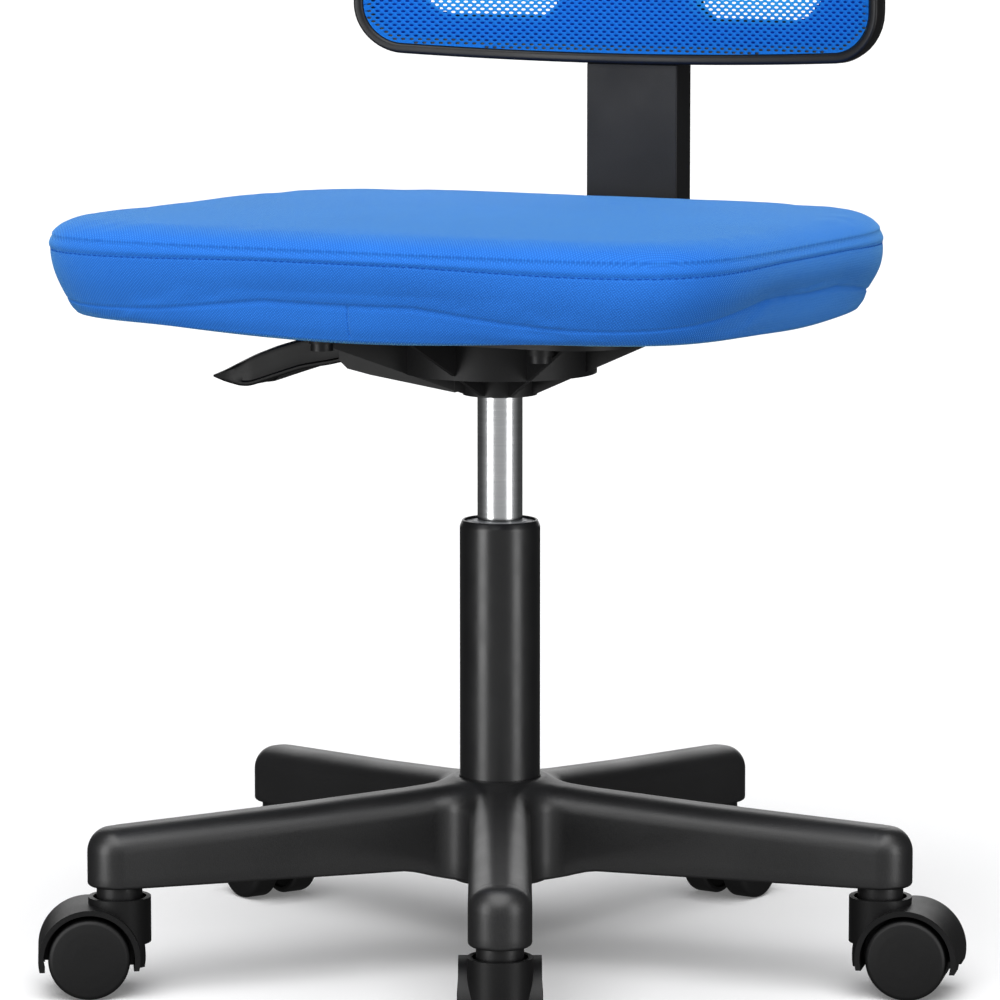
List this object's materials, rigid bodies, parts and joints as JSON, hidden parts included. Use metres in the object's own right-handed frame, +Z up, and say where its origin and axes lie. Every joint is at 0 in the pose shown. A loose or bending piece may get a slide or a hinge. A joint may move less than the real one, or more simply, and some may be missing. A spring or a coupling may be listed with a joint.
{
  "type": "swivel office chair",
  "caption": "Armless swivel office chair: padded fabric seat, low mesh back on an upright, gas column with height lever, star base on twin-wheel casters.",
  "frame": {"origin": "on the floor, under the column's axis", "axes": "+Z up; the sitter faces -Y; the sitter's left, away from the height lever, is +X"},
  "size_m": [0.5708, 0.5323, 0.8265],
  "materials": {
    "base_nylon": "fine moulded grain, soft sheen",
    "tube_paint": "smooth satin black powder coat",
    "bush_nylon": "natural nylon",
    "zinc_steel": "zinc plated",
    "stem_steel": "black zinc plated",
    "bright_steel": "ground bright",
    "buffer_rubber": "matt",
    "cylinder_chrome": "satin hard chrome",
    "plate_nylon": "moulded, matt",
    "lever_nylon": "moulded, satin",
    "plywood": "raw birch plywood",
    "foam": "open-cell polyurethane foam",
    "seat_fabric": "woven polyester, fine diagonal weave",
    "bar_steel": "black lacquer",
    "bar_plastic": "moulded, satin",
    "back_plastic": "moulded, satin",
    "lining_fabric": "knitted polyester",
    "mesh_fabric": "knitted mesh with rows of small oval holes",
    "edge_strip": "extruded strip",
    "caster_nylon": "moulded, satin",
    "wheel_nylon": "moulded, matt tread"
  },
  "bodies": {
    "base": {"star_base": "base_nylon", "caster_sleeves": "zinc_steel", "column_outer_tube": "tube_paint", "column_guide_bush": "bush_nylon", "thrust_bearing": "zinc_steel", "caster_stem_1": "stem_steel", "caster_stem_2": "stem_steel", "caster_stem_3": "stem_steel", "caster_stem_4": "stem_steel", "caster_stem_5": "stem_steel"},
    "rod": {"piston_rod": "bright_steel", "piston": "zinc_steel", "rubber_buffer": "buffer_rubber", "retaining_clip": "zinc_steel"},
    "seat": {"gas_cylinder": "cylinder_chrome", "underseat_plate": "plate_nylon", "lever_pin": "bright_steel", "plate_bolts": "stem_steel", "tee_nuts": "zinc_steel", "seat_pan": "plywood", "seat_foam": "foam", "seat_cover": "seat_fabric", "back_bar_strip": "bar_steel", "back_bar_cover": "bar_plastic", "back_bar_bolts": "stem_steel", "back_shell": "back_plastic", "back_lining": "lining_fabric", "back_mesh": "mesh_fabric", "mesh_edge_strip": "edge_strip", "back_frame": "back_plastic", "back_screws": "zinc_steel"},
    "lever": {"height_lever": "lever_nylon"},
    "button": {"release_button": "zinc_steel"},
    "caster_1": {"caster_hood_1": "caster_nylon", "caster_axle_1": "bright_steel"},
    "wheel_l_1": {"wheel_left_1": "wheel_nylon"},
    "wheel_r_1": {"wheel_right_1": "wheel_nylon"},
    "caster_2": {"caster_hood_2": "caster_nylon", "caster_axle_2": "bright_steel"},
    "wheel_l_2": {"wheel_left_2": "wheel_nylon"},
    "wheel_r_2": {"wheel_right_2": "wheel_nylon"},
    "caster_3": {"caster_hood_3": "caster_nylon", "caster_axle_3": "bright_steel"},
    "wheel_l_3": {"wheel_left_3": "wheel_nylon"},
    "wheel_r_3": {"wheel_right_3": "wheel_nylon"},
    "caster_4": {"caster_hood_4": "caster_nylon", "caster_axle_4": "bright_steel"},
    "wheel_l_4": {"wheel_left_4": "wheel_nylon"},
    "wheel_r_4": {"wheel_right_4": "wheel_nylon"},
    "caster_5": {"caster_hood_5": "caster_nylon", "caster_axle_5": "bright_steel"},
    "wheel_l_5": {"wheel_left_5": "wheel_nylon"},
    "wheel_r_5": {"wheel_right_5": "wheel_nylon"}
  },
  "joints": [
    {"name": "column_swivel", "type": "hinge", "parent": "base", "child": "rod", "pos_m": [0, 0, 0.07], "axis": [0, 0, 1], "continuous": true},
    {"name": "seat_lift", "type": "slide", "parent": "rod", "child": "seat", "axis": [0, 0, 1], "range_m": [-0.065, 0.035]},
    {"name": "lever_pull", "type": "hinge", "parent": "seat", "child": "lever", "pos_m": [-0.03, 0, 0.3954], "axis": [0, 1, 0], "range_deg": [0, 5.5], "stiffness_Nm_per_rad": 3, "springref_deg": -5.73},
    {"name": "button_press", "type": "slide", "parent": "seat", "child": "button", "axis": [0, 0, 1], "range_m": [-0.0035, 0]},
    {"name": "caster_swivel_1", "type": "hinge", "parent": "base", "child": "caster_1", "pos_m": [0.24078, 0.04246, 0.05], "axis": [0, 0, 1], "continuous": true},
    {"name": "wheel_spin_l_1", "type": "hinge", "parent": "caster_1", "child": "wheel_l_1", "pos_m": [0.25914, 0.04738, 0.025], "axis": [-0.2588, 0.9659, 0], "continuous": true},
    {"name": "wheel_spin_r_1", "type": "hinge", "parent": "caster_1", "child": "wheel_r_1", "pos_m": [0.25914, 0.04738, 0.025], "axis": [-0.2588, 0.9659, 0], "continuous": true},
    {"name": "caster_swivel_2", "type": "hinge", "parent": "base", "child": "caster_2", "pos_m": [0.03403, 0.24212, 0.05], "axis": [0, 0, 1], "continuous": true},
    {"name": "wheel_spin_l_2", "type": "hinge", "parent": "caster_2", "child": "wheel_l_2", "pos_m": [0.03601, 0.26102, 0.025], "axis": [-0.9945, 0.1045, 0], "continuous": true},
    {"name": "wheel_spin_r_2", "type": "hinge", "parent": "caster_2", "child": "wheel_r_2", "pos_m": [0.03601, 0.26102, 0.025], "axis": [-0.9945, 0.1045, 0], "continuous": true},
    {"name": "caster_swivel_3", "type": "hinge", "parent": "base", "child": "caster_3", "pos_m": [-0.21976, 0.10718, 0.05], "axis": [0, 0, 1], "continuous": true},
    {"name": "wheel_spin_l_3", "type": "hinge", "parent": "caster_3", "child": "wheel_l_3", "pos_m": [-0.23653, 0.1161, 0.025], "axis": [-0.4695, -0.8829, 0], "continuous": true},
    {"name": "wheel_spin_r_3", "type": "hinge", "parent": "caster_3", "child": "wheel_r_3", "pos_m": [-0.23653, 0.1161, 0.025], "axis": [-0.4695, -0.8829, 0], "continuous": true},
    {"name": "caster_swivel_4", "type": "hinge", "parent": "base", "child": "caster_4", "pos_m": [-0.16984, -0.17588, 0.05], "axis": [0, 0, 1], "continuous": true},
    {"name": "wheel_spin_l_4", "type": "hinge", "parent": "caster_4", "child": "wheel_l_4", "pos_m": [-0.18578, -0.18623, 0.025], "axis": [0.5446, -0.8387, 0], "continuous": true},
    {"name": "wheel_spin_r_4", "type": "hinge", "parent": "caster_4", "child": "wheel_r_4", "pos_m": [-0.18578, -0.18623, 0.025], "axis": [0.5446, -0.8387, 0], "continuous": true},
    {"name": "caster_swivel_5", "type": "hinge", "parent": "base", "child": "caster_5", "pos_m": [0.11479, -0.21588, 0.05], "axis": [0, 0, 1], "continuous": true},
    {"name": "wheel_spin_l_5", "type": "hinge", "parent": "caster_5", "child": "wheel_l_5", "pos_m": [0.10587, -0.19911, 0.025], "axis": [-0.8829, -0.4695, 0], "continuous": true},
    {"name": "wheel_spin_r_5", "type": "hinge", "parent": "caster_5", "child": "wheel_r_5", "pos_m": [0.10587, -0.19911, 0.025], "axis": [-0.8829, -0.4695, 0], "continuous": true}
  ],
  "couplings": [
    {"joint": "button_press", "follows": "lever_pull", "m_per_rad": -0.034}
  ]
}
